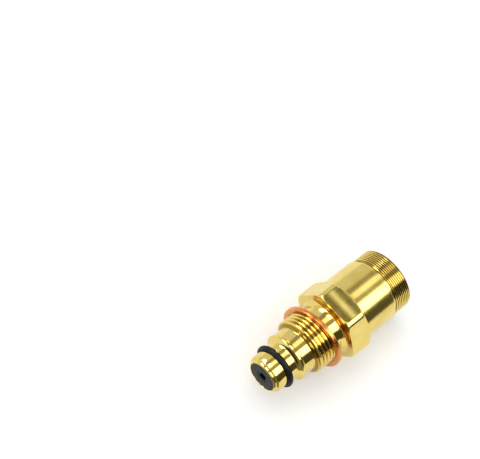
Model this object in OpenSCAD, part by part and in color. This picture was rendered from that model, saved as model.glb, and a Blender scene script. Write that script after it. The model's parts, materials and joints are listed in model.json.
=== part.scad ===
// Screw-in hydraulic cartridge with a sprung sensing piston.
// Every piece is drawn along z, from the tip of the nose at z = 0 to the open end, and is then
// laid along X with its nose to +X, one flat of the hexagon facing down and the origin at the
// middle of the port thread.

/* [Nose] */
// Radius of the nose lands beside the seal groove
nose_r = 6.8; // [5:0.1:9]
// Radius of the flat front of the nose
lip_outer_r = 5.55; // [5:0.05:8]
// Radius of the opening in the rolled lip
lip_hole_r = 5.25; // [3:0.05:6]
// Thickness of the rolled lip
lip_thick = 0.45; // [0.2:0.05:1]
// Radius of the rolled lip behind its bevelled edge
lip_r = 6.0; // [5.6:0.05:7]
// Distance from the tip to the end of the rolled lip
lip_end = 0.85; // [0.6:0.05:1.5]
// Radius at the foot of the shoulder behind the lip
shoulder_r = 6.35; // [6:0.05:8]
// Distance from the tip to the end of the rounded shoulder
shoulder_end = 2.4; // [1.5:0.1:3]
// Distance from the tip to the seal groove
groove_start = 4.7; // [2:0.1:8]
// Width of the seal groove
groove_w = 2.4; // [1.5:0.1:4]
// Radius of the seal groove's floor
groove_r = 5.65; // [5.2:0.05:7]
// Section radius of the nose seal
oring_r = 1.15; // [0.5:0.05:1.5]

/* [Stem] */
// Distance from the tip to the foot of the flare
flare_start = 8.9; // [7:0.1:12]
// Length of the concave flare
flare_len = 1.6; // [0.5:0.1:3]
// Radius of the flared rim
rim_r = 8.6; // [7:0.1:10]
// Width of the flared rim
rim_w = 0.8; // [0.4:0.1:2]
// Radius of the plain stem behind the rim
stem_r = 8.2; // [6:0.1:9.5]
// Radius of the side port in the stem
side_port_r = 0.7; // [0.4:0.1:1.2]
// Distance from the tip to the side port
side_port_at = 13.6; // [12:0.1:15]

/* [Port thread] */
// Radius over the crests of the port thread
port_thread_r = 10; // [6:0.5:16]
// Distance from the tip to the first full crest
port_thread_start = 16.6; // [12:0.1:20]
// Length of full port thread, in front of the washer
port_thread_len = 4.4; // [4:0.1:14]
// Length of the last turns, which lie under the washer
thread_tail_len = 2.6; // [0.5:0.1:3]
// How much lower the last turns are drawn, about half the depth of the thread
thread_tail_drop = 0.5; // [0.4:0.05:0.8]
// Length of the lead-in cone in front of the thread
thread_lead = 0.9; // [0.4:0.1:2]
// Radius of the relief neck behind the thread
neck_r = 8.85; // [7:0.05:9.5]
// Radius of the hollow curve from the neck to the hexagon
neck_fillet = 2; // [0.5:0.1:2.4]

/* [Hexagon] */
// Distance across the flats
hex_af = 24; // [17:1:36]
// Length of the hexagon
hex_len = 8.4; // [5:0.1:15]
// Distance from the tip to the front of the hexagon
hex_start = 28.9; // [24:0.1:40]
// Radius to which the corners are turned down
hex_corner_r = 13.4; // [12.5:0.1:14]
// Radius of the turned face at the front of the hexagon
hex_front_r = 12.9; // [11:0.1:13.4]
// Radius of the turned face at the back of the hexagon
hex_back_r = 11.5; // [10:0.1:12]

/* [Barrel] */
// Radius of the plain barrel behind the hexagon
barrel_r = 11.5; // [9:0.1:14]
// Distance from the tip to the end of the barrel
barrel_end = 50; // [45:0.1:60]
// Radius over the crests of the fine end thread
end_thread_r = 11; // [8:0.5:14]
// Radius of the undercut between the barrel and the end thread
undercut_r = 10.5; // [8:0.1:13]
// Distance from the tip to the first full crest of the end thread
end_thread_start = 51.4; // [50:0.1:60]
// Chamfer on the open end
end_chamfer = 0.6; // [0.2:0.1:1.2]
// Length of the whole body
body_len = 57.7; // [50:0.1:70]

/* [Bores] */
// Radius of the seat for the inlet plug
plug_seat_r = 5.6; // [4:0.1:6]
// Distance from the tip to the end of the plug seat
plug_seat_end = 3.4; // [2:0.1:4]
// Radius of the piston bore
piston_bore_r = 4.4; // [3:0.1:5]
// Distance from the tip to the end of the piston bore
piston_bore_end = 24; // [20:0.5:28]
// Radius of the magnet bore
magnet_bore_r = 3.0; // [2:0.1:4]
// Distance from the tip to the end of the magnet bore
magnet_bore_end = 36.2; // [32:0.1:40]
// Thickness of the wall between the magnet bore and the socket
web_thick = 2; // [1:0.1:4]
// Radius of the sensor socket
socket_r = 6.5; // [4:0.1:8]
// Chamfer on the mouth of the socket
socket_chamfer = 0.7; // [0.3:0.1:1.2]

/* [Seal washer] */
// Radius of the washer's hole
washer_hole_r = 10.15; // [8:0.05:12]
// Outer radius of the washer
washer_r = 11.95; // [10:0.05:14]
// Thickness of the washer
washer_thick = 1.5; // [1:0.1:3]
// Distance from the tip to the middle of the washer as it lies
washer_at = 22.8; // [22:0.1:27]
// Angle at which the loose washer stands askew
washer_skew = 4.5; // [0:0.5:5]

/* [Inlet plug] */
// Distance from the tip to the plug's visible face
plug_face = 0.05; // [0:0.05:0.4]
// Radius of the inlet hole
inlet_r = 1.35; // [0.5:0.05:2]
// Radius of the shallow step around the inlet hole
inlet_step_r = 2.1; // [1.5:0.1:3]
// Depth of the shallow step around the inlet hole
inlet_step = 0.3; // [0.1:0.05:1]

/* [Piston] */
// Distance from the tip to the piston's pressure face
piston_face = 3.8; // [3.5:0.1:5]
// Length of the piston head
piston_head_len = 4.2; // [3:0.1:6]
// Radius of the raised stop on the pressure face
piston_stop_r = 2.4; // [1.5:0.1:3]
// Radius of the piston rod
rod_r = 2.0; // [1:0.1:2.5]
// Radius of the spigot that holds the magnet carrier
spigot_r = 1.2; // [0.6:0.1:1.6]
// Length of that spigot
spigot_len = 2.2; // [1:0.1:3]
// Width of the guide ring
ring_w = 1.3; // [0.8:0.1:2]
// Depth of the guide ring's groove
ring_depth = 1.0; // [0.5:0.1:1.5]

/* [Spring] */
// Mean radius of the spring's turns
spring_r = 3.55; // [3:0.05:4]
// Radius of the spring wire
wire_r = 0.42; // [0.2:0.02:0.6]
// Number of turns
spring_turns = 7; // [4:0.5:9]
// Thickness of the spring seat
seat_thick = 0.8; // [0.4:0.1:1.5]

/* [Magnet] */
// Outer radius of the magnet carrier
carrier_r = 2.9; // [2:0.1:3]
// Distance from the tip to the front of the magnet carrier
carrier_start = 24.7; // [24.2:0.1:26]
// Radius of the magnet
magnet_r = 2.25; // [1:0.05:2.6]
// Length of the magnet
magnet_len = 3.0; // [1:0.1:5]
// Thickness of the carrier's end cap
cap_thick = 0.8; // [0.4:0.1:1.5]

/* [Hidden] */
$fn = 96;
// Radial play of a sliding piece and of a piece pushed into a seat
slide_play = 0.04;
seat_play = 0.03;
// Gap between faces that meet when the piston rests
stop_gap = 0.05;
// Overlap of a cutting shape past the face it cuts
cut_past = 1;
origin_at = port_thread_start + port_thread_len / 2;
port_thread_end = port_thread_start + port_thread_len;
thread_tail_r = port_thread_r - thread_tail_drop;
thread_tail_end = port_thread_end + thread_tail_len;
shoulder_start = lip_end + (shoulder_r - lip_r) / 2;
rim_start = flare_start + flare_len;
rim_end = rim_start + rim_w;
groove_end = groove_start + groove_w;
hex_end = hex_start + hex_len;
// A wrench hexagon is turned down at thirty degrees
hex_front_chamfer = (hex_corner_r - hex_front_r) * tan(30);
hex_back_chamfer = (hex_corner_r - hex_back_r) * tan(30);
barrel_chamfer = 0.3;
socket_start = magnet_bore_end + web_thick;
plug_back = plug_seat_end - stop_gap;
piston_r = piston_bore_r - slide_play;
head_end = piston_face + piston_head_len;
ring_start = piston_face + (piston_head_len - ring_w) / 2;
ring_floor_r = piston_r - ring_depth;
seat_start = piston_bore_end - seat_thick;
spigot_end = carrier_start + spigot_len;
magnet_start = spigot_end + 0.2;
magnet_end = magnet_start + magnet_len;
cap_lip = 0.2;
carrier_end = magnet_end + cap_lip;
spring_start = head_end + wire_r + stop_gap;
spring_end = seat_start - wire_r - stop_gap;
spring_pitch = (spring_end - spring_start) / spring_turns;
rings_per_turn = 16;
wire_sides = 6;
spring_rings = spring_turns * rings_per_turn;
brass = [0.80, 0.62, 0.24];
copper = [0.78, 0.42, 0.25];
rubber = [0.06, 0.06, 0.07];
dark_plastic = [0.22, 0.22, 0.23];
steel = [0.68, 0.69, 0.70];
dark_steel = [0.16, 0.16, 0.17];
white_plastic = [0.90, 0.90, 0.88];

// Lays a piece drawn along z on its side, with the nose to +X
module lay() {
    translate([origin_at, 0, 0]) rotate([0, -90, 0]) children();
}

// A round piece from one distance to another
module rod(r, from, to) {
    translate([0, 0, from]) cylinder(r = r, h = to - from);
}

// A round piece with a round hole, from one distance to another
module sleeve(r, hole_r, from, to) {
    rotate_extrude() translate([hole_r, from]) square([r - hole_r, to - from]);
}

// The outside of the turned body, nose first, as radius and distance from the tip
function nose_curve() = concat(
    [[lip_outer_r, 0], [lip_r, lip_r - lip_outer_r], [lip_r, lip_end]],
    [for (t = [0:15:90]) [shoulder_r + (nose_r - shoulder_r) * sin(t),
        shoulder_start + (shoulder_end - shoulder_start) * (1 - cos(t))]]);
function flare_curve() = [for (t = [0:15:90])
    [nose_r + (rim_r - nose_r) * (1 - cos(t)), flare_start + flare_len * sin(t)]];
function neck_curve() = [for (t = [0:15:90])
    [neck_r + neck_fillet * (1 - cos(t)), hex_start - neck_fillet * (1 - sin(t))]];
function body_outline() = concat(
    [[0, 0]],
    nose_curve(),
    [[nose_r, groove_start], [groove_r, groove_start], [groove_r, groove_end], [nose_r, groove_end]],
    flare_curve(),
    [[rim_r, rim_end], [stem_r, rim_end + rim_r - stem_r],
     [stem_r, port_thread_start - thread_lead], [port_thread_r, port_thread_start],
     [port_thread_r, port_thread_end], [thread_tail_r, port_thread_end + thread_tail_drop],
     [thread_tail_r, thread_tail_end], [neck_r, thread_tail_end + (thread_tail_r - neck_r) / 2]],
    neck_curve(),
    [[barrel_r - barrel_chamfer, hex_start], [barrel_r - barrel_chamfer, hex_end],
     [barrel_r, hex_end], [barrel_r, barrel_end - barrel_chamfer],
     [barrel_r - barrel_chamfer, barrel_end], [undercut_r, barrel_end],
     [undercut_r, end_thread_start - end_thread_r + undercut_r],
     [end_thread_r, end_thread_start], [end_thread_r, body_len - end_chamfer],
     [end_thread_r - end_chamfer, body_len], [0, body_len]]);

// The hexagon with its corners turned down at both ends, one flat facing down
module hexagon() {
    intersection() {
        translate([0, 0, hex_start]) rotate([0, 0, 30])
            cylinder(r = hex_af / 2 / cos(30), h = hex_len, $fn = 6);
        rotate_extrude() polygon([[0, hex_start], [hex_front_r, hex_start],
            [hex_corner_r, hex_start + hex_front_chamfer], [hex_corner_r, hex_end - hex_back_chamfer],
            [hex_back_r, hex_end], [0, hex_end]]);
    }
}

// The hole through the lip, the plug seat and the two blind bores on the axis
module axial_bores() {
    rod(lip_hole_r, -cut_past, plug_seat_end / 2);
    rod(plug_seat_r, lip_thick, plug_seat_end);
    rod(piston_bore_r, plug_seat_end / 2, piston_bore_end);
    rod(magnet_bore_r, piston_bore_end - cut_past, magnet_bore_end);
    rod(socket_r, socket_start, body_len + cut_past);
    translate([0, 0, body_len - socket_chamfer])
        cylinder(r1 = socket_r, r2 = socket_r + 2 * socket_chamfer, h = 2 * socket_chamfer);
}

// The side port opens through the underside of the stem into the spring chamber
module side_port() {
    translate([0, 0, side_port_at]) rotate([0, -90, 0])
        cylinder(r = side_port_r, h = rim_r + cut_past, $fn = 32);
}

module cartridge_body() {
    color(brass) lay() difference() {
        union() {
            rotate_extrude() polygon(body_outline());
            hexagon();
        }
        axial_bores();
        side_port();
    }
}

module inlet_plug() {
    color(dark_plastic) lay() difference() {
        union() {
            rod(plug_seat_r - seat_play, lip_thick, plug_back);
            rod(lip_hole_r - seat_play, plug_face, plug_seat_end / 2);
        }
        rod(inlet_r, -cut_past, plug_seat_end);
        rod(inlet_step_r, -cut_past, plug_face + inlet_step);
    }
}

module nose_oring() {
    color(rubber) lay() translate([0, 0, (groove_start + groove_end) / 2])
        rotate_extrude() translate([groove_r + seat_play + oring_r, 0]) circle(r = oring_r, $fn = 32);
}

// The loose washer stands a little askew between the thread and the hexagon
module sealing_washer() {
    color(copper) translate([origin_at - washer_at, 0, 0])
        rotate([0, 0, washer_skew]) rotate([0, 90, 0])
            sleeve(washer_r, washer_hole_r, -washer_thick / 2, washer_thick / 2);
}

module piston() {
    color(dark_steel) lay() rotate_extrude() polygon([
        [0, plug_back + stop_gap], [piston_stop_r, plug_back + stop_gap], [piston_stop_r, piston_face],
        [piston_r, piston_face], [piston_r, ring_start], [ring_floor_r, ring_start],
        [ring_floor_r, ring_start + ring_w], [piston_r, ring_start + ring_w], [piston_r, head_end],
        [rod_r, head_end], [rod_r, carrier_start], [spigot_r, carrier_start],
        [spigot_r, spigot_end], [0, spigot_end]]);
}

module piston_ring() {
    color(white_plastic) lay() sleeve(piston_bore_r - slide_play / 2, ring_floor_r + seat_play,
        ring_start + seat_play, ring_start + ring_w - seat_play);
}

// One unbroken wire, swept as rings of points along the helix
function wire_ring(i) = let (
    turn = 360 * i / rings_per_turn,
    lead = atan(spring_pitch / (2 * PI * spring_r)),
    at = spring_start + spring_pitch * i / rings_per_turn)
    [for (k = [0:wire_sides - 1]) let (
        side = 360 * k / wire_sides,
        out = spring_r + wire_r * cos(side),
        along = wire_r * sin(side))
        [out * cos(turn) + along * sin(lead) * sin(turn),
         out * sin(turn) - along * sin(lead) * cos(turn),
         at + along * cos(lead)]];
function wire_sides_between(i) = [for (k = [0:wire_sides - 1]) let (
    a = i * wire_sides + k,
    b = i * wire_sides + (k + 1) % wire_sides)
    [a, a + wire_sides, b + wire_sides, b]];

module return_spring() {
    points = [for (i = [0:spring_rings]) each wire_ring(i)];
    first_end = [for (k = [0:wire_sides - 1]) k];
    last_end = [for (k = [wire_sides - 1:-1:0]) spring_rings * wire_sides + k];
    walls = [for (i = [0:spring_rings - 1]) each wire_sides_between(i)];
    one_turn_on = wire_ring(rings_per_turn);
    echo(spring_gap_mm = min([for (p = wire_ring(0), q = one_turn_on) norm(p - q)]));
    color(steel) lay() polyhedron(points, concat([first_end], walls, [last_end]));
}

module spring_seat() {
    color(steel) lay()
        sleeve(piston_bore_r - seat_play, magnet_bore_r + seat_play, seat_start, piston_bore_end);
}

module magnet_carrier() {
    color(white_plastic) lay() difference() {
        rod(carrier_r, carrier_start, carrier_end);
        rod(spigot_r + seat_play, carrier_start - cut_past, spigot_end);
        rod(magnet_r + seat_play, magnet_start, carrier_end + cut_past);
    }
}

module magnet() {
    color(steel) lay() rod(magnet_r, magnet_start, magnet_end);
}

module magnet_cap() {
    color(white_plastic) lay() union() {
        rod(magnet_r, magnet_end, carrier_end);
        rod(carrier_r, carrier_end, carrier_end + cap_thick);
    }
}

cartridge_body();
inlet_plug();
nose_oring();
sealing_washer();
piston();
piston_ring();
return_spring();
spring_seat();
magnet_carrier();
magnet();
magnet_cap();
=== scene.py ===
# A brass screw-in cartridge with a sealed nose, a port thread, a loose copper washer, a wrench hexagon
# and a fine end thread. It lies along X with its nose to +X, on one flat of the hexagon.
import json
import math

import bmesh
import bpy
from mathutils import Matrix, Vector


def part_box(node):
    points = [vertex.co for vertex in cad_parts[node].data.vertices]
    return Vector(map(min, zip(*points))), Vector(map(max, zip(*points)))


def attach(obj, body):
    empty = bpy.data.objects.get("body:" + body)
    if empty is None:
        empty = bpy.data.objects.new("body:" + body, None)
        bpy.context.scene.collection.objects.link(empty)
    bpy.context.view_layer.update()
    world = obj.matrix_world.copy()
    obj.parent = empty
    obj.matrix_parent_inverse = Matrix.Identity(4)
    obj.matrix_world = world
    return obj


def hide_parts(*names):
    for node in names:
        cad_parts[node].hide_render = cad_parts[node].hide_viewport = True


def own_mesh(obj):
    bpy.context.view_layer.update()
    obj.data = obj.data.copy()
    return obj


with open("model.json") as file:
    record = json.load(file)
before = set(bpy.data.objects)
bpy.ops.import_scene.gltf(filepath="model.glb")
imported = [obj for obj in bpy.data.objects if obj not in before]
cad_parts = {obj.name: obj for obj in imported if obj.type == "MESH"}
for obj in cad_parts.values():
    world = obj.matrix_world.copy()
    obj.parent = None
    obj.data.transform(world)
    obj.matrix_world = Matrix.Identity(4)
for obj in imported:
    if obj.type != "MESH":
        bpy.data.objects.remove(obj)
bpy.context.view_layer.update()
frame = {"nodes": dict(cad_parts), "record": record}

MM = 0.001
MOUNTS = {m["name"]: m["dims"] for m in frame["record"]["mounts"]}

# The body's box is in metres. Lengths along the axis are in millimetres from the tip of the nose
BODY_LOW, BODY_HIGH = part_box("cartridge_body")
TIP_X = BODY_HIGH.x / MM
BODY_LEN = (BODY_HIGH.x - BODY_LOW.x) / MM
FLOOR_Z = BODY_LOW.z

PORT_R = MOUNTS["port_thread"]["r_mm"]
PORT_LEN = MOUNTS["port_thread"]["length_mm"]
PORT_START = TIP_X - PORT_LEN / 2
PORT_END = PORT_START + PORT_LEN
PORT_PITCH = 1.5
END_R = MOUNTS["end_thread"]["r_mm"]
END_PITCH = 0.75
SOCKET_R = MOUNTS["sensor_socket"]["r_mm"]
SOCKET_LEN = MOUNTS["sensor_socket"]["length_mm"]

# Turned forms of the body
LIP_HOLE_R = 5.25
LIP_OUTER_R = 5.55
LIP_R = 6.0
LIP_END = 0.85
SHOULDER_R = 6.35
SHOULDER_START = LIP_END + (SHOULDER_R - LIP_R) / 2
SHOULDER_END = 2.4
LIP_THICK = 0.45
PLUG_SEAT_R = 5.6
PLUG_SEAT_END = 3.4
PISTON_BORE_R = 4.4
PISTON_BORE_END = 24.0
MAGNET_BORE_R = 3.0
MAGNET_BORE_END = 36.2
NOSE_R = 6.8
GROOVE_R = 5.95
GROOVE_START = 4.8
GROOVE_END = 7.0
FLARE_START = 8.9
FLARE_CONE_DEG = 60
RIM_START = 10.5
RIM_END = 11.3
RIM_R = 8.6
STEM_START = RIM_END + 0.4
STEM_R = 8.2
LEAD_LEN = 0.9
TAIL_LEN = 2.6
TAIL_END = PORT_END + TAIL_LEN
RUN_OUT_END = TAIL_END + 0.5
RUN_OUT_SLOPE = 2
NECK_R = 8.85
NECK_FILLET = 2.0
HEX_START = 28.9
HEX_LEN = 8.4
HEX_END = HEX_START + HEX_LEN
HEX_AF = 24.0
HEX_CORNER_R = 13.4
HEX_FRONT_R = 12.9
HEX_BACK_R = 11.5
HEX_CHAMFER_DEG = 30
BARREL_R = 11.5
BARREL_END = 50.0
UNDERCUT_R = 10.5
END_START = 51.4
UNDERCUT_END = END_START - 0.3
END_LEAD_LEN = 0.5
END_CHAMFER = 0.6
SOCKET_CHAMFER = 0.7
SOCKET_END = BODY_LEN - SOCKET_CHAMFER
SOCKET_MOUTH_R = SOCKET_R + SOCKET_CHAMFER

# Hidden joins: the core under the threads and the hexagon, and how far the sleeves reach into it
PORT_CORE_R = PORT_R - 1.0
END_CORE_R = END_R - 0.6
HEX_CORE_R = BARREL_R - 0.6
HEX_CORE_INSET = 0.4
BARREL_OVERLAP = 0.3
END_EDGE_LEN = 0.3
PORT_SLEEVE_R = STEM_R - 0.3
PORT_LOWEST_R = STEM_R - 0.15
END_SLEEVE_R = UNDERCUT_R - 0.4
END_LOWEST_R = UNDERCUT_R - 0.2
CONE_SINK = 0.1
NECK_OVERLAP = 0.02
HEX_FACE_OVERLAP = 0.1
HEX_INSIDE = [(HEX_END, BARREL_R - 1), (HEX_START + 1, BARREL_R - 1.5)]

# Fineness of the meshes, and merging distances in metres
TURN_STEPS = 160
THREAD_STEPS = 144
HEX_STEPS = 360
HEX_FACE_STEPS = 10
HEX_FRONT_STEPS = 5
HEX_SIDE_STEPS = 10
HEX_BACK_STEPS = 14
ARC_STEPS = 5
SEAL_STEPS = 28
SPRING_STEPS = 32
WIRE_SIDES = 12
DRILL_SIDES = 32
SPUN_MERGE = 1e-7
THREAD_MERGE = 1e-6
CUT_MERGE = 1e-8

# The most of a side that one rounded corner takes, how sharply the hexagon's edges turn, and the angles
# from which an edge is shaded as a crease
CORNER_SHARE = 0.45
HEX_SHARPNESS = 350
CREASE_DEG = 32
HEX_CREASE_DEG = 60

# The loose washer and the nose seal, from their boxes and sizes
WASHER_HOLE_R = 10.15
WASHER_R = 11.95
WASHER_THICK = 1.5
WASHER_SKEW = math.radians(4.5)
WASHER_AT = TIP_X - sum(c.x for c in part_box("sealing_washer")) / 2 / MM
SEAL_AT = TIP_X - sum(c.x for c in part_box("nose_oring")) / 2 / MM
SEAL_OUTER_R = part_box("nose_oring")[1].z / MM
SEAL_R = 1.0

# The inlet plug and the side port
PLUG_FACE = TIP_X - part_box("inlet_plug")[1].x / MM
PLUG_BACK = TIP_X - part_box("inlet_plug")[0].x / MM
PLUG_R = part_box("inlet_plug")[1].z / MM
PLUG_BOSS_R = LIP_HOLE_R - 0.03
INLET_R = 1.35
# Faces nearer the axis than this take the inlet hole's painted shade
INLET_WALL_R = INLET_R + 0.05
INLET_STEP_R = 2.1
INLET_STEP = 0.3
SIDE_PORT_R = 0.7
SIDE_PORT_AT = 13.6
DRILL_SPARE = 2

# The return spring, between the piston's head and the spring seat
SPRING_LOW, SPRING_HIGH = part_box("return_spring")
SPRING_TURNS = 7
WIRE_R = 0.42


# Meshes

def to_x(distance):
    """The place along X of a distance from the tip."""
    return (TIP_X - distance) * MM


def unit_arc(end_deg, step_deg):
    """Points (along, up) on an arc of radius one that starts level and bends up."""
    angles = [math.radians(t) for t in range(0, end_deg + 1, step_deg)]
    return [(math.sin(angle), 1 - math.cos(angle)) for angle in angles]


def rounded(corners):
    """A line through (distance, radius, rounding) corners, with an arc at each rounded one."""
    line = []
    last = len(corners) - 1
    for i, (distance, radius, rounding) in enumerate(corners):
        here = Vector((distance, radius))
        if rounding == 0 or i in (0, last):
            line.append(here)
            continue
        back = Vector(corners[i - 1][:2]) - here
        ahead = Vector(corners[i + 1][:2]) - here
        back_len, ahead_len = back.length, ahead.length
        reach = min(rounding, CORNER_SHARE * back_len, CORNER_SHARE * ahead_len)
        start = here + back * (reach / back_len)
        end = here + ahead * (reach / ahead_len)
        for k in range(ARC_STEPS + 1):
            t = k / ARC_STEPS
            line.append(start * (1 - t) ** 2 + here * (2 * t * (1 - t)) + end * t ** 2)
    return line


def line_edges(bm, line):
    """The line as edges in the XZ half plane above the axis."""
    verts = [bm.verts.new((to_x(distance), 0, radius * MM)) for distance, radius in line]
    edges = [bm.edges.new(pair) for pair in zip(verts, verts[1:])]
    return verts + edges


def spun(line, steps=TURN_STEPS):
    """A bmesh turned about the X axis from a line of (distance, radius)."""
    bm = bmesh.new()
    geom = line_edges(bm, line)
    bmesh.ops.spin(bm, geom=geom, cent=(0, 0, 0), axis=(1, 0, 0), dvec=(0, 0, 0),
                   angle=math.tau, steps=steps, use_merge=True)
    bmesh.ops.remove_doubles(bm, verts=bm.verts, dist=SPUN_MERGE)
    return bm


def set_radius(vert, radius):
    """Moves a vertex straight out from the axis to a radius."""
    scale = radius / math.hypot(vert.co.y, vert.co.z)
    vert.co.y *= scale
    vert.co.z *= scale


def mesh_object(name, bm):
    """Makes a bmesh into an object in the scene and frees it."""
    mesh = bpy.data.meshes.new(name)
    bm.to_mesh(mesh)
    bm.free()
    obj = bpy.data.objects.new(name, mesh)
    bpy.context.scene.collection.objects.link(obj)
    return obj


def piece(name, bm, body, material, node, crease_deg=CREASE_DEG):
    """Makes a bmesh into an object that rides on a body and stands for a node."""
    bmesh.ops.recalc_face_normals(bm, faces=bm.faces)
    for face in bm.faces:
        face.smooth = True
    for edge in bm.edges:
        edge.smooth = edge.calc_face_angle(0) < math.radians(crease_deg)
    obj = mesh_object(name, bm)
    obj.data.materials.append(material)
    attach(obj, body)
    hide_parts(node)
    return obj


def second_material(obj, material, chosen):
    """Gives another material to the faces whose centre is chosen."""
    obj.data.materials.append(material)
    for face in obj.data.polygons:
        if chosen(face.center):
            face.material_index = 1


def nose_front():
    """The rolled lip, the step behind it and the rounded shoulder up to the first land."""
    lip = [(0, LIP_OUTER_R, 0.15), (LIP_R - LIP_OUTER_R, LIP_R, 0.25), (LIP_END, LIP_R, 0.12)]
    shoulder = [(SHOULDER_START + (SHOULDER_END - SHOULDER_START) * up,
                 SHOULDER_R + (NOSE_R - SHOULDER_R) * along, 0)
                for along, up in unit_arc(90, 10)]
    return lip + shoulder


def flare():
    """The flare behind the second land: a hollow bend that ends in a cone up to the rim."""
    steep = math.radians(FLARE_CONE_DEG)
    rise = RIM_R - NOSE_R
    bend_r = (RIM_START - FLARE_START - rise / math.tan(steep)) / math.tan(steep / 2)
    bend = [(FLARE_START + bend_r * along, NOSE_R + bend_r * up, 0)
            for along, up in unit_arc(FLARE_CONE_DEG, 6)]
    return bend + [(RIM_START, RIM_R, 0.2)]


def neck_curve():
    """The hollow curve from the relief neck to the hexagon's front face."""
    return [(HEX_START + NECK_OVERLAP - NECK_FILLET * (1 - along), NECK_R + NECK_FILLET * up, 0)
            for along, up in unit_arc(90, 6)]


def body_core():
    """The turned body with its bores; the threads and the hexagon are sleeves on it."""
    bores = [
        (MAGNET_BORE_END, 0, 0), (MAGNET_BORE_END, MAGNET_BORE_R, 0.2),
        (PISTON_BORE_END, MAGNET_BORE_R, 0.1), (PISTON_BORE_END, PISTON_BORE_R, 0.1),
        (PLUG_SEAT_END, PISTON_BORE_R, 0.1), (PLUG_SEAT_END, PLUG_SEAT_R, 0.05),
        (LIP_THICK, PLUG_SEAT_R, 0.05), (LIP_THICK, LIP_HOLE_R, 0.1), (0, LIP_HOLE_R, 0.1)]
    groove = [
        (GROOVE_START, NOSE_R, 0.15), (GROOVE_START, GROOVE_R, 0.15),
        (GROOVE_END, GROOVE_R, 0.15), (GROOVE_END, NOSE_R, 0.15)]
    middle = [
        (RIM_END, RIM_R, 0.3), (STEM_START, STEM_R, 0.2), (PORT_START - LEAD_LEN, STEM_R, 0.1),
        (PORT_START, PORT_CORE_R, 0), (TAIL_END, PORT_CORE_R, 0), (RUN_OUT_END, NECK_R, 0.2)]
    barrel = [
        (HEX_START + HEX_CORE_INSET, HEX_CORE_R, 0), (HEX_END - HEX_CORE_INSET, HEX_CORE_R, 0),
        (HEX_END - BARREL_OVERLAP, BARREL_R, 0), (BARREL_END, BARREL_R, 0.35)]
    end = [
        (BARREL_END, UNDERCUT_R, 0.25), (UNDERCUT_END, UNDERCUT_R, 0.1), (END_START, END_CORE_R, 0),
        (BODY_LEN - END_EDGE_LEN, END_CORE_R, 0), (BODY_LEN, END_CORE_R, 0.15)]
    socket = [
        (BODY_LEN, SOCKET_MOUTH_R, 0.15), (SOCKET_END, SOCKET_R, 0.2),
        (SOCKET_END - SOCKET_LEN, SOCKET_R, 0.3), (SOCKET_END - SOCKET_LEN, 0, 0)]
    front = bores + nose_front() + groove + flare() + middle + neck_curve()
    return spun(rounded(front + barrel + end + socket))


# Half a thread crest and half a root, as (along, down) in pitches: the port thread's crests are
# rounded and the end thread's are turned flat
PORT_CREST_BEND = 0.23
PORT_CREST = [(PORT_CREST_BEND * along, PORT_CREST_BEND * up) for along, up in unit_arc(60, 12)]
END_CREST = [(0, 0), (0.09, 0.01), (0.16, 0.07), (0.20, 0.15)]
THREAD_ROOT = [(0.40, 0.5643), (0.45, 0.6134)]


def thread_line(start, crest_r, pitch, half_crest):
    """One pitch of a thread, from the middle of one crest to the next."""
    half = half_crest + THREAD_ROOT
    down = [Vector((start + along * pitch, crest_r - drop * pitch)) for along, drop in half]
    up = [Vector((start + pitch - along * pitch, crest_r - drop * pitch))
          for along, drop in reversed(half)]
    return down + up


def thread_sleeve(start, end, crest_r, pitch, half_crest, core_r, limit):
    """A right-handed thread cut square at both ends, with its radius held under limit(distance)."""
    bm = bmesh.new()
    geom = line_edges(bm, thread_line(end + pitch / 2, crest_r, pitch, half_crest))
    bmesh.ops.spin(bm, geom=geom, cent=(0, 0, 0), axis=(1, 0, 0),
                   dvec=(pitch * MM / THREAD_STEPS, 0, 0),
                   angle=math.tau, steps=THREAD_STEPS, use_merge=False)
    one_turn = bm.verts[:] + bm.edges[:] + bm.faces[:]
    turns_and_spare = math.ceil((end - start) / pitch) + 2
    for turn in range(1, turns_and_spare):
        copy = bmesh.ops.duplicate(bm, geom=one_turn)["geom"]
        moved = [e for e in copy if isinstance(e, bmesh.types.BMVert)]
        bmesh.ops.translate(bm, verts=moved, vec=(turn * pitch * MM, 0, 0))
    bmesh.ops.remove_doubles(bm, verts=bm.verts, dist=THREAD_MERGE)
    for cut_at, outward in ((start, 1), (end, -1)):
        bmesh.ops.bisect_plane(bm, geom=bm.verts[:] + bm.edges[:] + bm.faces[:], dist=CUT_MERGE,
                               plane_co=(to_x(cut_at), 0, 0), plane_no=(outward, 0, 0), clear_outer=True)
    for vert in bm.verts:
        distance = TIP_X - vert.co.x / MM
        radius = math.hypot(vert.co.y, vert.co.z)
        set_radius(vert, min(radius, limit(distance) * MM))
    rims = [edge for edge in bm.edges if edge.is_boundary]
    inner = bmesh.ops.extrude_edge_only(bm, edges=rims)["geom"]
    for vert in inner:
        if isinstance(vert, bmesh.types.BMVert):
            set_radius(vert, core_r * MM)
    inner_rims = [edge for edge in inner if isinstance(edge, bmesh.types.BMEdge) and edge.is_boundary]
    bmesh.ops.bridge_loops(bm, edges=inner_rims)
    return bm


def port_limit(distance):
    """The lead-in cone at the front of the port thread and the cone down to the neck behind it."""
    lead = STEM_R - CONE_SINK + (distance - PORT_START + LEAD_LEN) * (PORT_R - STEM_R) / LEAD_LEN
    run_out = NECK_R - CONE_SINK + (RUN_OUT_END - distance) * RUN_OUT_SLOPE
    return max(PORT_LOWEST_R, min(lead, run_out))


def end_limit(distance):
    """The chamfers at both ends of the end thread."""
    lead = UNDERCUT_R - CONE_SINK + (distance - END_START + END_LEAD_LEN)
    run_out = END_R - END_CHAMFER + (BODY_LEN - distance)
    return max(END_LOWEST_R, min(lead, run_out))


def hex_flat_r(angle):
    """How far the hexagon's sides are from the axis at an angle from straight up."""
    across = (angle + math.pi / 6) % (math.pi / 3) - math.pi / 6
    return HEX_AF / 2 / math.cos(across)


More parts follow.
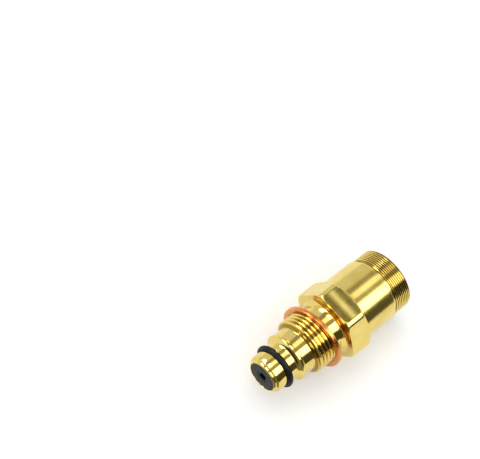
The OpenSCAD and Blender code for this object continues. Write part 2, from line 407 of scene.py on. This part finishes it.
def chamfer_line(start, face_r, inward, steps):
    """The chamfer at one end of the hexagon, from its face to its corners."""
    rise = HEX_CORNER_R - face_r
    run = rise * math.tan(math.radians(HEX_CHAMFER_DEG)) * inward
    return [Vector((start + run * k / steps, face_r + rise * k / steps)) for k in range(steps + 1)]


def hexagon():
    """A turned collar with six flats cut on it and slightly softened edges."""
    face_r = NECK_R + NECK_FILLET - HEX_FACE_OVERLAP
    face = [Vector((HEX_START, face_r + (HEX_FRONT_R - face_r) * k / HEX_FACE_STEPS))
            for k in range(HEX_FACE_STEPS)]
    front = chamfer_line(HEX_START, HEX_FRONT_R, 1, HEX_FRONT_STEPS)
    back = chamfer_line(HEX_END, HEX_BACK_R, -1, HEX_BACK_STEPS)[::-1]
    side = [front[-1].lerp(back[0], k / HEX_SIDE_STEPS) for k in range(1, HEX_SIDE_STEPS)]
    inside = [Vector(corner) for corner in HEX_INSIDE] + [face[0]]
    bm = spun(face + front + side + back + inside, HEX_STEPS)
    for vert in bm.verts:
        turned = math.hypot(vert.co.y, vert.co.z) / MM
        flat = hex_flat_r(math.atan2(vert.co.y, vert.co.z))
        low = min(turned, flat)
        ease = (low / turned) ** HEX_SHARPNESS + (low / flat) ** HEX_SHARPNESS
        set_radius(vert, low * ease ** (-1 / HEX_SHARPNESS) * MM)
    return bm


def sealing_washer():
    """The loose copper ring, standing askew, with worn edges."""
    front, back = WASHER_AT - WASHER_THICK / 2, WASHER_AT + WASHER_THICK / 2
    middle_r = (WASHER_R + WASHER_HOLE_R) / 2
    ring = [(front, middle_r, 0), (front, WASHER_R, 0.3), (back, WASHER_R, 0.3),
            (back, WASHER_HOLE_R, 0.3), (front, WASHER_HOLE_R, 0.3), (front, middle_r, 0)]
    bm = spun(rounded(ring))
    bmesh.ops.rotate(bm, verts=bm.verts, cent=(to_x(WASHER_AT), 0, 0),
                     matrix=Matrix.Rotation(WASHER_SKEW, 3, "Z"))
    return bm


def nose_seal():
    """The rubber ring in the nose groove."""
    turn = [math.tau * k / SEAL_STEPS for k in range(SEAL_STEPS + 1)]
    return spun([Vector((SEAL_AT + SEAL_R * math.cos(a), SEAL_OUTER_R - SEAL_R + SEAL_R * math.sin(a)))
                 for a in turn])


def inlet_plug():
    """The plug behind the lip, with a shallow step round its inlet hole."""
    middle_r = (PLUG_R + INLET_R) / 2
    return spun(rounded([
        (PLUG_BACK, middle_r, 0), (PLUG_BACK, INLET_R, 0.1), (PLUG_FACE + INLET_STEP, INLET_R, 0.12),
        (PLUG_FACE + INLET_STEP, INLET_STEP_R, 0.08), (PLUG_FACE, INLET_STEP_R, 0.12),
        (PLUG_FACE, PLUG_BOSS_R, 0.15), (LIP_THICK, PLUG_BOSS_R, 0), (LIP_THICK, PLUG_R, 0.05),
        (PLUG_BACK, PLUG_R, 0.1), (PLUG_BACK, middle_r, 0)]))


def return_spring():
    """One round wire wound from the piston's head to the spring seat."""
    bm = bmesh.new()
    mean_r = SPRING_HIGH.z / MM - WIRE_R
    first = TIP_X - SPRING_HIGH.x / MM + WIRE_R
    pitch = ((SPRING_HIGH.x - SPRING_LOW.x) / MM - 2 * WIRE_R) / SPRING_TURNS
    section = [math.tau * k / WIRE_SIDES for k in range(WIRE_SIDES)]
    ring = [bm.verts.new((to_x(first + WIRE_R * math.cos(a)), 0, (mean_r + WIRE_R * math.sin(a)) * MM))
            for a in section]
    end = bm.faces.new(ring)
    bmesh.ops.spin(bm, geom=ring + end.edges[:] + [end], cent=(0, 0, 0), axis=(1, 0, 0),
                   dvec=(-pitch * MM / SPRING_STEPS, 0, 0), angle=math.tau * SPRING_TURNS,
                   steps=SPRING_STEPS * SPRING_TURNS, use_merge=False)
    return bm


def cut_side_port(obj):
    """Drills the side port up through the underside of the stem into the spring chamber."""
    bm = bmesh.new()
    depth = STEM_R - PISTON_BORE_R + DRILL_SPARE
    bmesh.ops.create_cone(bm, cap_ends=True, segments=DRILL_SIDES, radius1=SIDE_PORT_R * MM,
                          radius2=SIDE_PORT_R * MM, depth=depth * MM)
    bmesh.ops.translate(bm, verts=bm.verts,
                        vec=(to_x(SIDE_PORT_AT), 0, -(STEM_R + PISTON_BORE_R) / 2 * MM))
    drill = mesh_object("drill", bm)
    cut = obj.modifiers.new("side_port", "BOOLEAN")
    cut.operation = "DIFFERENCE"
    cut.object = drill
    depsgraph = bpy.context.evaluated_depsgraph_get()
    obj.data = bpy.data.meshes.new_from_object(obj.evaluated_get(depsgraph))
    obj.modifiers.clear()
    bpy.data.objects.remove(drill)


# Materials

CLOUD_SCALE = 180.0
CLOUD_DETAIL = 5.0
CLOUD_RANGE = (0.35, 0.7)
LINE_SCALE = 1.0
LINE_DETAIL = 3.0
LINE_RANGE = (0.3, 0.7)


def node_group(name, inputs, outputs):
    """An empty shader node group with named sockets."""
    group = bpy.data.node_groups.new(name, "ShaderNodeTree")
    for label, kind in inputs:
        group.interface.new_socket(name=label, in_out="INPUT", socket_type=kind)
    for label, kind in outputs:
        group.interface.new_socket(name=label, in_out="OUTPUT", socket_type=kind)
    start = group.nodes.new("NodeGroupInput")
    end = group.nodes.new("NodeGroupOutput")
    return group, start, end


def noise_mask(group, start, scale, detail, value_range):
    """A noise over the group's vector, and the mask that part of its range gives."""
    noise = group.nodes.new("ShaderNodeTexNoise")
    noise.inputs["Scale"].default_value = scale
    noise.inputs["Detail"].default_value = detail
    group.links.new(start.outputs["Vector"], noise.inputs["Vector"])
    ramp = group.nodes.new("ShaderNodeMapRange")
    ramp.inputs["From Min"].default_value = value_range[0]
    ramp.inputs["From Max"].default_value = value_range[1]
    group.links.new(noise.outputs["Fac"], ramp.inputs["Value"])
    return noise.outputs["Fac"], ramp.outputs["Result"]


def fine_lines_group():
    """Tool lines: noise over a drawn-out vector, as a height and a mask."""
    group, start, end = node_group(
        "fine_lines",
        [("Vector", "NodeSocketVector")],
        [("Height", "NodeSocketFloat"), ("Mask", "NodeSocketFloat")])
    height, mask = noise_mask(group, start, LINE_SCALE, LINE_DETAIL, LINE_RANGE)
    group.links.new(height, end.inputs["Height"])
    group.links.new(mask, end.inputs["Mask"])
    return group


def tarnish_group():
    """Soft cloudy change of colour over a surface."""
    group, start, end = node_group(
        "tarnish",
        [("Vector", "NodeSocketVector"), ("Bright", "NodeSocketColor"), ("Dull", "NodeSocketColor")],
        [("Color", "NodeSocketColor")])
    mask = noise_mask(group, start, CLOUD_SCALE, CLOUD_DETAIL, CLOUD_RANGE)[1]
    mix = group.nodes.new("ShaderNodeMix")
    mix.data_type = "RGBA"
    group.links.new(mask, mix.inputs["Factor"])
    group.links.new(start.outputs["Bright"], mix.inputs["A"])
    group.links.new(start.outputs["Dull"], mix.inputs["B"])
    group.links.new(mix.outputs["Result"], end.inputs["Color"])
    return group


FINE_LINES = fine_lines_group()
TARNISH = tarnish_group()


def surface(name, bright, dull, line_scale, roughness, bump, metallic=1.0, specular=0.5):
    """A material with cloudy colour, drawn-out lines, a roughness range and a (strength, depth) bump."""
    material = bpy.data.materials.new(name)
    material.use_nodes = True
    nodes, links = material.node_tree.nodes, material.node_tree.links
    shader = nodes["Principled BSDF"]
    shader.inputs["Metallic"].default_value = metallic
    shader.inputs["Specular IOR Level"].default_value = specular
    place = nodes.new("ShaderNodeTexCoord")
    clouds = nodes.new("ShaderNodeGroup")
    clouds.node_tree = TARNISH
    clouds.inputs["Bright"].default_value = (*bright, 1)
    clouds.inputs["Dull"].default_value = (*dull, 1)
    links.new(place.outputs["Object"], clouds.inputs["Vector"])
    links.new(clouds.outputs["Color"], shader.inputs["Base Color"])
    stretch = nodes.new("ShaderNodeMapping")
    stretch.inputs["Scale"].default_value = line_scale
    links.new(place.outputs["Object"], stretch.inputs["Vector"])
    lines = nodes.new("ShaderNodeGroup")
    lines.node_tree = FINE_LINES
    links.new(stretch.outputs["Vector"], lines.inputs["Vector"])
    rough = nodes.new("ShaderNodeMapRange")
    rough.inputs["To Min"].default_value = roughness[0]
    rough.inputs["To Max"].default_value = roughness[1]
    links.new(lines.outputs["Mask"], rough.inputs["Value"])
    links.new(rough.outputs["Result"], shader.inputs["Roughness"])
    dents = nodes.new("ShaderNodeBump")
    dents.inputs["Strength"].default_value = bump[0]
    dents.inputs["Distance"].default_value = bump[1]
    links.new(lines.outputs["Height"], dents.inputs["Height"])
    links.new(dents.outputs["Normal"], shader.inputs["Normal"])
    return material


def paint_valley_shade(material, valley, root_r, crest_r):
    """Paints shade into a thread's colour: full at the root radius, fading out towards the crest radius."""
    nodes, links = material.node_tree.nodes, material.node_tree.links
    colour = nodes["Principled BSDF"].inputs["Base Color"]
    unshaded = colour.links[0].from_socket
    place = nodes.new("ShaderNodeTexCoord")
    across = nodes.new("ShaderNodeVectorMath")
    across.operation = "MULTIPLY"
    across.inputs[1].default_value = (0, 1, 1)
    links.new(place.outputs["Object"], across.inputs[0])
    reach = nodes.new("ShaderNodeVectorMath")
    reach.operation = "LENGTH"
    links.new(across.outputs["Vector"], reach.inputs[0])
    height = nodes.new("ShaderNodeMapRange")
    height.inputs["From Min"].default_value = root_r * MM
    height.inputs["From Max"].default_value = crest_r * MM
    links.new(reach.outputs["Value"], height.inputs["Value"])
    mix = nodes.new("ShaderNodeMix")
    mix.data_type = "RGBA"
    links.new(height.outputs["Result"], mix.inputs["Factor"])
    mix.inputs["A"].default_value = (*valley, 1)
    links.new(unshaded, mix.inputs["B"])
    links.new(mix.outputs["Result"], colour)
    return material


# Bright and dull brass, the painted shade in the thread valleys and the radii where it is full and where it
# ends
BRASS = ((0.79, 0.63, 0.19), (0.71, 0.54, 0.135))
PORT_VALLEY_SHADE = (0.34, 0.20, 0.028)
PORT_VALLEY_SHADE_R = (PORT_R - 0.85, PORT_R - 0.35)
END_VALLEY_SHADE = (0.17, 0.09, 0.010)
END_VALLEY_SHADE_R = (END_R - 0.36, END_R - 0.10)

# Fineness of the tool marks along X, Y and Z, in noise cells per metre, and their depth in metres
TURNED_LINES = (9000, 60, 60)
DRAWN_LINES = (90, 6000, 6000)
EVEN_GRAIN = (2500, 2500, 2500)
FINE = 0.00002
COARSE = 0.00003
POLISHED = (*BRASS, TURNED_LINES, (0.06, 0.13), (0.06, FINE))

POLISHED_BRASS = surface("polished_brass", *POLISHED)
# Both thread materials have painted shade darkening their valleys
PORT_BRASS = paint_valley_shade(surface("port_thread_brass", *POLISHED), PORT_VALLEY_SHADE, *PORT_VALLEY_SHADE_R)
END_BRASS = paint_valley_shade(surface("end_thread_brass", *POLISHED), END_VALLEY_SHADE, *END_VALLEY_SHADE_R)
TURNED_BRASS = surface("turned_brass", *BRASS, TURNED_LINES, (0.14, 0.22), (0.10, FINE))
DRAWN_BRASS = surface("drawn_brass", *BRASS, DRAWN_LINES, (0.09, 0.15), (0.20, FINE))
COPPER = surface("copper", (0.76, 0.33, 0.10), (0.62, 0.22, 0.06), EVEN_GRAIN, (0.20, 0.32), (0.15, COARSE))
RUBBER = surface("rubber", (0.004, 0.004, 0.005), (0.009, 0.009, 0.010), EVEN_GRAIN, (0.34, 0.5),
                 (0.2, COARSE), metallic=0.0, specular=0.16)
DARK_PLASTIC = surface("dark_plastic", (0.028, 0.029, 0.030), (0.042, 0.043, 0.045), EVEN_GRAIN,
                       (0.5, 0.65), (0.25, COARSE), metallic=0.0, specular=0.3)
# Near-black painted shade for the inside of the inlet hole
INLET_PAINTED_SHADE = surface("inlet_painted_shade", (0.003, 0.003, 0.003), (0.006, 0.006, 0.006), EVEN_GRAIN,
                      (0.6, 0.7), (0.1, COARSE), metallic=0.0, specular=0.05)
STEEL = surface("turned_steel", (0.62, 0.63, 0.64), (0.52, 0.53, 0.54), TURNED_LINES, (0.18, 0.3),
                (0.12, FINE))
DARK_STEEL = surface("dark_steel", (0.045, 0.045, 0.05), (0.03, 0.03, 0.033), TURNED_LINES, (0.35, 0.5),
                     (0.12, FINE), metallic=0.0, specular=0.2)
WHITE_PLASTIC = surface("white_plastic", (0.82, 0.82, 0.79), (0.76, 0.76, 0.72), EVEN_GRAIN, (0.45, 0.6),
                        (0.15, COARSE), metallic=0.0)
MAGNET = surface("plated_magnet", (0.58, 0.59, 0.60), (0.5, 0.5, 0.52), EVEN_GRAIN, (0.12, 0.22),
                 (0.1, FINE))


# Pieces

core = piece("body_core", body_core(), "cartridge", POLISHED_BRASS, "cartridge_body")
cut_side_port(core)
second_material(core, TURNED_BRASS, lambda centre: centre.x < to_x(HEX_START + HEX_LEN / 2))
piece("port_thread",
      thread_sleeve(PORT_START - LEAD_LEN, RUN_OUT_END, PORT_R, PORT_PITCH, PORT_CREST,
                    PORT_SLEEVE_R, port_limit),
      "cartridge", PORT_BRASS, "cartridge_body")
piece("end_thread",
      thread_sleeve(END_START - END_LEAD_LEN, BODY_LEN, END_R, END_PITCH, END_CREST,
                    END_SLEEVE_R, end_limit),
      "cartridge", END_BRASS, "cartridge_body")
piece("hexagon", hexagon(), "cartridge", DRAWN_BRASS, "cartridge_body", HEX_CREASE_DEG)
piece("copper_washer", sealing_washer(), "washer", COPPER, "sealing_washer")
piece("nose_seal", nose_seal(), "cartridge", RUBBER, "nose_oring")
plug = piece("plug", inlet_plug(), "cartridge", DARK_PLASTIC, "inlet_plug")
# The inlet hole's walls get the near-black painted shade
second_material(plug, INLET_PAINTED_SHADE, lambda centre: math.hypot(centre.y, centre.z) < INLET_WALL_R * MM)

# The spring, which shortens as the piston moves back, gets a mesh of its own
spring = piece("spring_wire", return_spring(), "cartridge", STEEL, "return_spring")
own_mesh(spring)

for node, material in (("piston", DARK_STEEL), ("piston_ring", WHITE_PLASTIC), ("spring_seat", STEEL),
                       ("magnet_carrier", WHITE_PLASTIC), ("magnet", MAGNET),
                       ("magnet_cap", WHITE_PLASTIC)):
    mesh = frame["nodes"][node].data
    mesh.materials.clear()
    mesh.materials.append(material)


# Camera at the photograph's angle: a long lens, high over the nose and to one side

CAMERA_AT = Vector((TIP_X + 252.186, 104.014, 580.865)) * MM
CAMERA_HEADING = 207.561
CAMERA_DOWN = 61.27
CAMERA_ROLL = 22.376
LENS_MM = 150
SENSOR_MM = 36
CLIP_START = 0.01

heading, down, roll = (math.radians(v) for v in (CAMERA_HEADING, CAMERA_DOWN, CAMERA_ROLL))
ahead = Vector((math.cos(heading) * math.cos(down), math.sin(heading) * math.cos(down), -math.sin(down)))
level_right = Vector((math.sin(heading), -math.cos(heading), 0))
level_up = level_right.cross(ahead)
right = level_right * math.cos(roll) + level_up * math.sin(roll)
up = level_up * math.cos(roll) - level_right * math.sin(roll)
camera = bpy.data.objects.new("camera", bpy.data.cameras.new("camera"))
camera.data.lens = LENS_MM
camera.data.sensor_width = SENSOR_MM
camera.data.clip_start = CLIP_START
camera.matrix_world = Matrix.Translation(CAMERA_AT) @ Matrix((right, up, -ahead)).transposed().to_4x4()
bpy.context.scene.collection.objects.link(camera)
bpy.context.scene.camera = camera


# Floor, cards and lights. Cards are placed in millimetres, and the bars along X in shares of the hexagon

WARM_WHITE = (1.0, 0.99, 0.95)
SHADE = (1.0, 0.9, 0.7)
STRIP_X = (-260, 160)
STRIP_REACH = 160
FRONT_X = (-30, 200)
FRONT_REACH = 150
FRONT_SHADE = [(180, -40, -12), (180, 160, -12), (180, 160, 45), (180, -40, 45)]
FLOOR_SHADE = [(26, -15, -11.9), (26, 120, -11.9), (180, 160, -11.9), (180, -40, -11.9)]
BAR_Z = 40
BAR_SHIFT = 13.6
BAR_Y = (-18, 8)
BAR_SHARES = ((-0.05, 0.42), (0.63, 1.05))
BAR_GLOW = 0.12
FLOOR_HALF = 1.5
FLOOR_COLOUR = (0.92, 0.92, 0.92, 1)
FLOOR_ROUGHNESS = 0.9
FLOOR_LIFT = 0.22
WORLD_STRENGTH = 0.82


def card(name, corners, colour, glow):
    """A flat stage card that only reflections see."""
    bm = bmesh.new()
    bm.faces.new([bm.verts.new(Vector(c) * MM) for c in corners])
    obj = mesh_object(name, bm)
    material = bpy.data.materials.new(name)
    material.use_nodes = True
    nodes, links = material.node_tree.nodes, material.node_tree.links
    nodes.clear()
    emission = nodes.new("ShaderNodeEmission")
    emission.inputs["Color"].default_value = (*colour, 1)
    emission.inputs["Strength"].default_value = glow
    links.new(emission.outputs["Emission"], nodes.new("ShaderNodeOutputMaterial").inputs["Surface"])
    obj.data.materials.append(material)
    obj.visible_camera = False
    obj.visible_diffuse = False
    obj.visible_shadow = False
    obj.visible_transmission = False


def around_axis(reach, tilt_deg, x):
    """A point round the X axis, tilted from straight up towards +Y."""
    tilt = math.radians(tilt_deg)
    return (x, reach * math.sin(tilt), reach * math.cos(tilt))


def strip_card(name, tilt_from, tilt_to, x_range, reach, colour, glow):
    """A card that fills a range of tilt round the axis."""
    x_from, x_to = x_range
    card(name, [around_axis(reach, tilt_from, x_from), around_axis(reach, tilt_from, x_to),
                around_axis(reach, tilt_to, x_to), around_axis(reach, tilt_to, x_from)], colour, glow)


strip_card("bright_strip_left", -18, 0, STRIP_X, STRIP_REACH, WARM_WHITE, 1.6)
strip_card("bright_strip_right", 20, 50, STRIP_X, STRIP_REACH, WARM_WHITE, 4.2)
strip_card("dark_strip_left", -38, -21, STRIP_X, STRIP_REACH, SHADE, 0.40)
strip_card("dark_strip_middle", 3, 17, STRIP_X, STRIP_REACH, SHADE, 0.45)
strip_card("dark_strip_right", 55, 97, STRIP_X, STRIP_REACH, SHADE, 0.08)
strip_card("front_left", -60, -40, FRONT_X, FRONT_REACH, WARM_WHITE, 8.0)
strip_card("front_middle", -20, 0, FRONT_X, FRONT_REACH, WARM_WHITE, 4.0)
card("front_shade", FRONT_SHADE, SHADE, 0.20)
card("floor_shade", FLOOR_SHADE, SHADE, 0.25)

# Two narrow bars over the hexagon leave one bright line across its upper flat
for bar, (front_share, back_share) in enumerate(BAR_SHARES):
    x_front = TIP_X - (HEX_START + HEX_LEN * front_share) - BAR_SHIFT
    x_back = TIP_X - (HEX_START + HEX_LEN * back_share) - BAR_SHIFT
    card(f"hexagon_bar_{bar}", [(x_front, BAR_Y[0], BAR_Z), (x_front, BAR_Y[1], BAR_Z),
                                (x_back, BAR_Y[1], BAR_Z), (x_back, BAR_Y[0], BAR_Z)], SHADE, BAR_GLOW)


def floor():
    """A wide pale floor that keeps the shadow."""
    bm = bmesh.new()
    bmesh.ops.create_grid(bm, x_segments=1, y_segments=1, size=FLOOR_HALF)
    bmesh.ops.translate(bm, verts=bm.verts, vec=(0, 0, FLOOR_Z))
    obj = mesh_object("floor", bm)
    material = bpy.data.materials.new("floor")
    material.use_nodes = True
    nodes, links = material.node_tree.nodes, material.node_tree.links
    shader = nodes["Principled BSDF"]
    shader.inputs["Base Color"].default_value = FLOOR_COLOUR
    shader.inputs["Roughness"].default_value = FLOOR_ROUGHNESS
    shader.inputs["Specular IOR Level"].default_value = 0.0
    shader.inputs["Emission Color"].default_value = (1, 1, 1, 1)
    path = nodes.new("ShaderNodeLightPath")
    seen = path.outputs["Is Camera Ray"]
    for ray in ("Is Glossy Ray", "Is Transmission Ray"):
        either = nodes.new("ShaderNodeMath")
        either.operation = "MAXIMUM"
        links.new(seen, either.inputs[0])
        links.new(path.outputs[ray], either.inputs[1])
        seen = either.outputs["Value"]
    lift = nodes.new("ShaderNodeMath")
    lift.operation = "MULTIPLY"
    lift.inputs[1].default_value = FLOOR_LIFT
    links.new(seen, lift.inputs[0])
    links.new(lift.outputs["Value"], shader.inputs["Emission Strength"])
    obj.data.materials.append(material)


def area_light(name, at, size, power):
    """A soft lamp aimed at the part."""
    data = bpy.data.lights.new(name, "AREA")
    data.shape = "RECTANGLE"
    data.size, data.size_y = size
    data.energy = power
    obj = bpy.data.objects.new(name, data)
    obj.location = Vector(at)
    obj.rotation_euler = (-Vector(at)).to_track_quat("-Z", "Y").to_euler()
    obj.visible_glossy = False
    bpy.context.scene.collection.objects.link(obj)


floor()
area_light("key", (-0.1, -0.25, 0.6), (0.5, 0.4), 0.7)
area_light("fill", (0.3, 0.5, 0.5), (0.5, 0.5), 0.3)

world = bpy.data.worlds.new("studio")
world.use_nodes = True
background = world.node_tree.nodes["Background"]
background.inputs["Color"].default_value = (1, 1, 1, 1)
background.inputs["Strength"].default_value = WORLD_STRENGTH
bpy.context.scene.world = world

bpy.context.scene.view_settings.view_transform = "Standard"
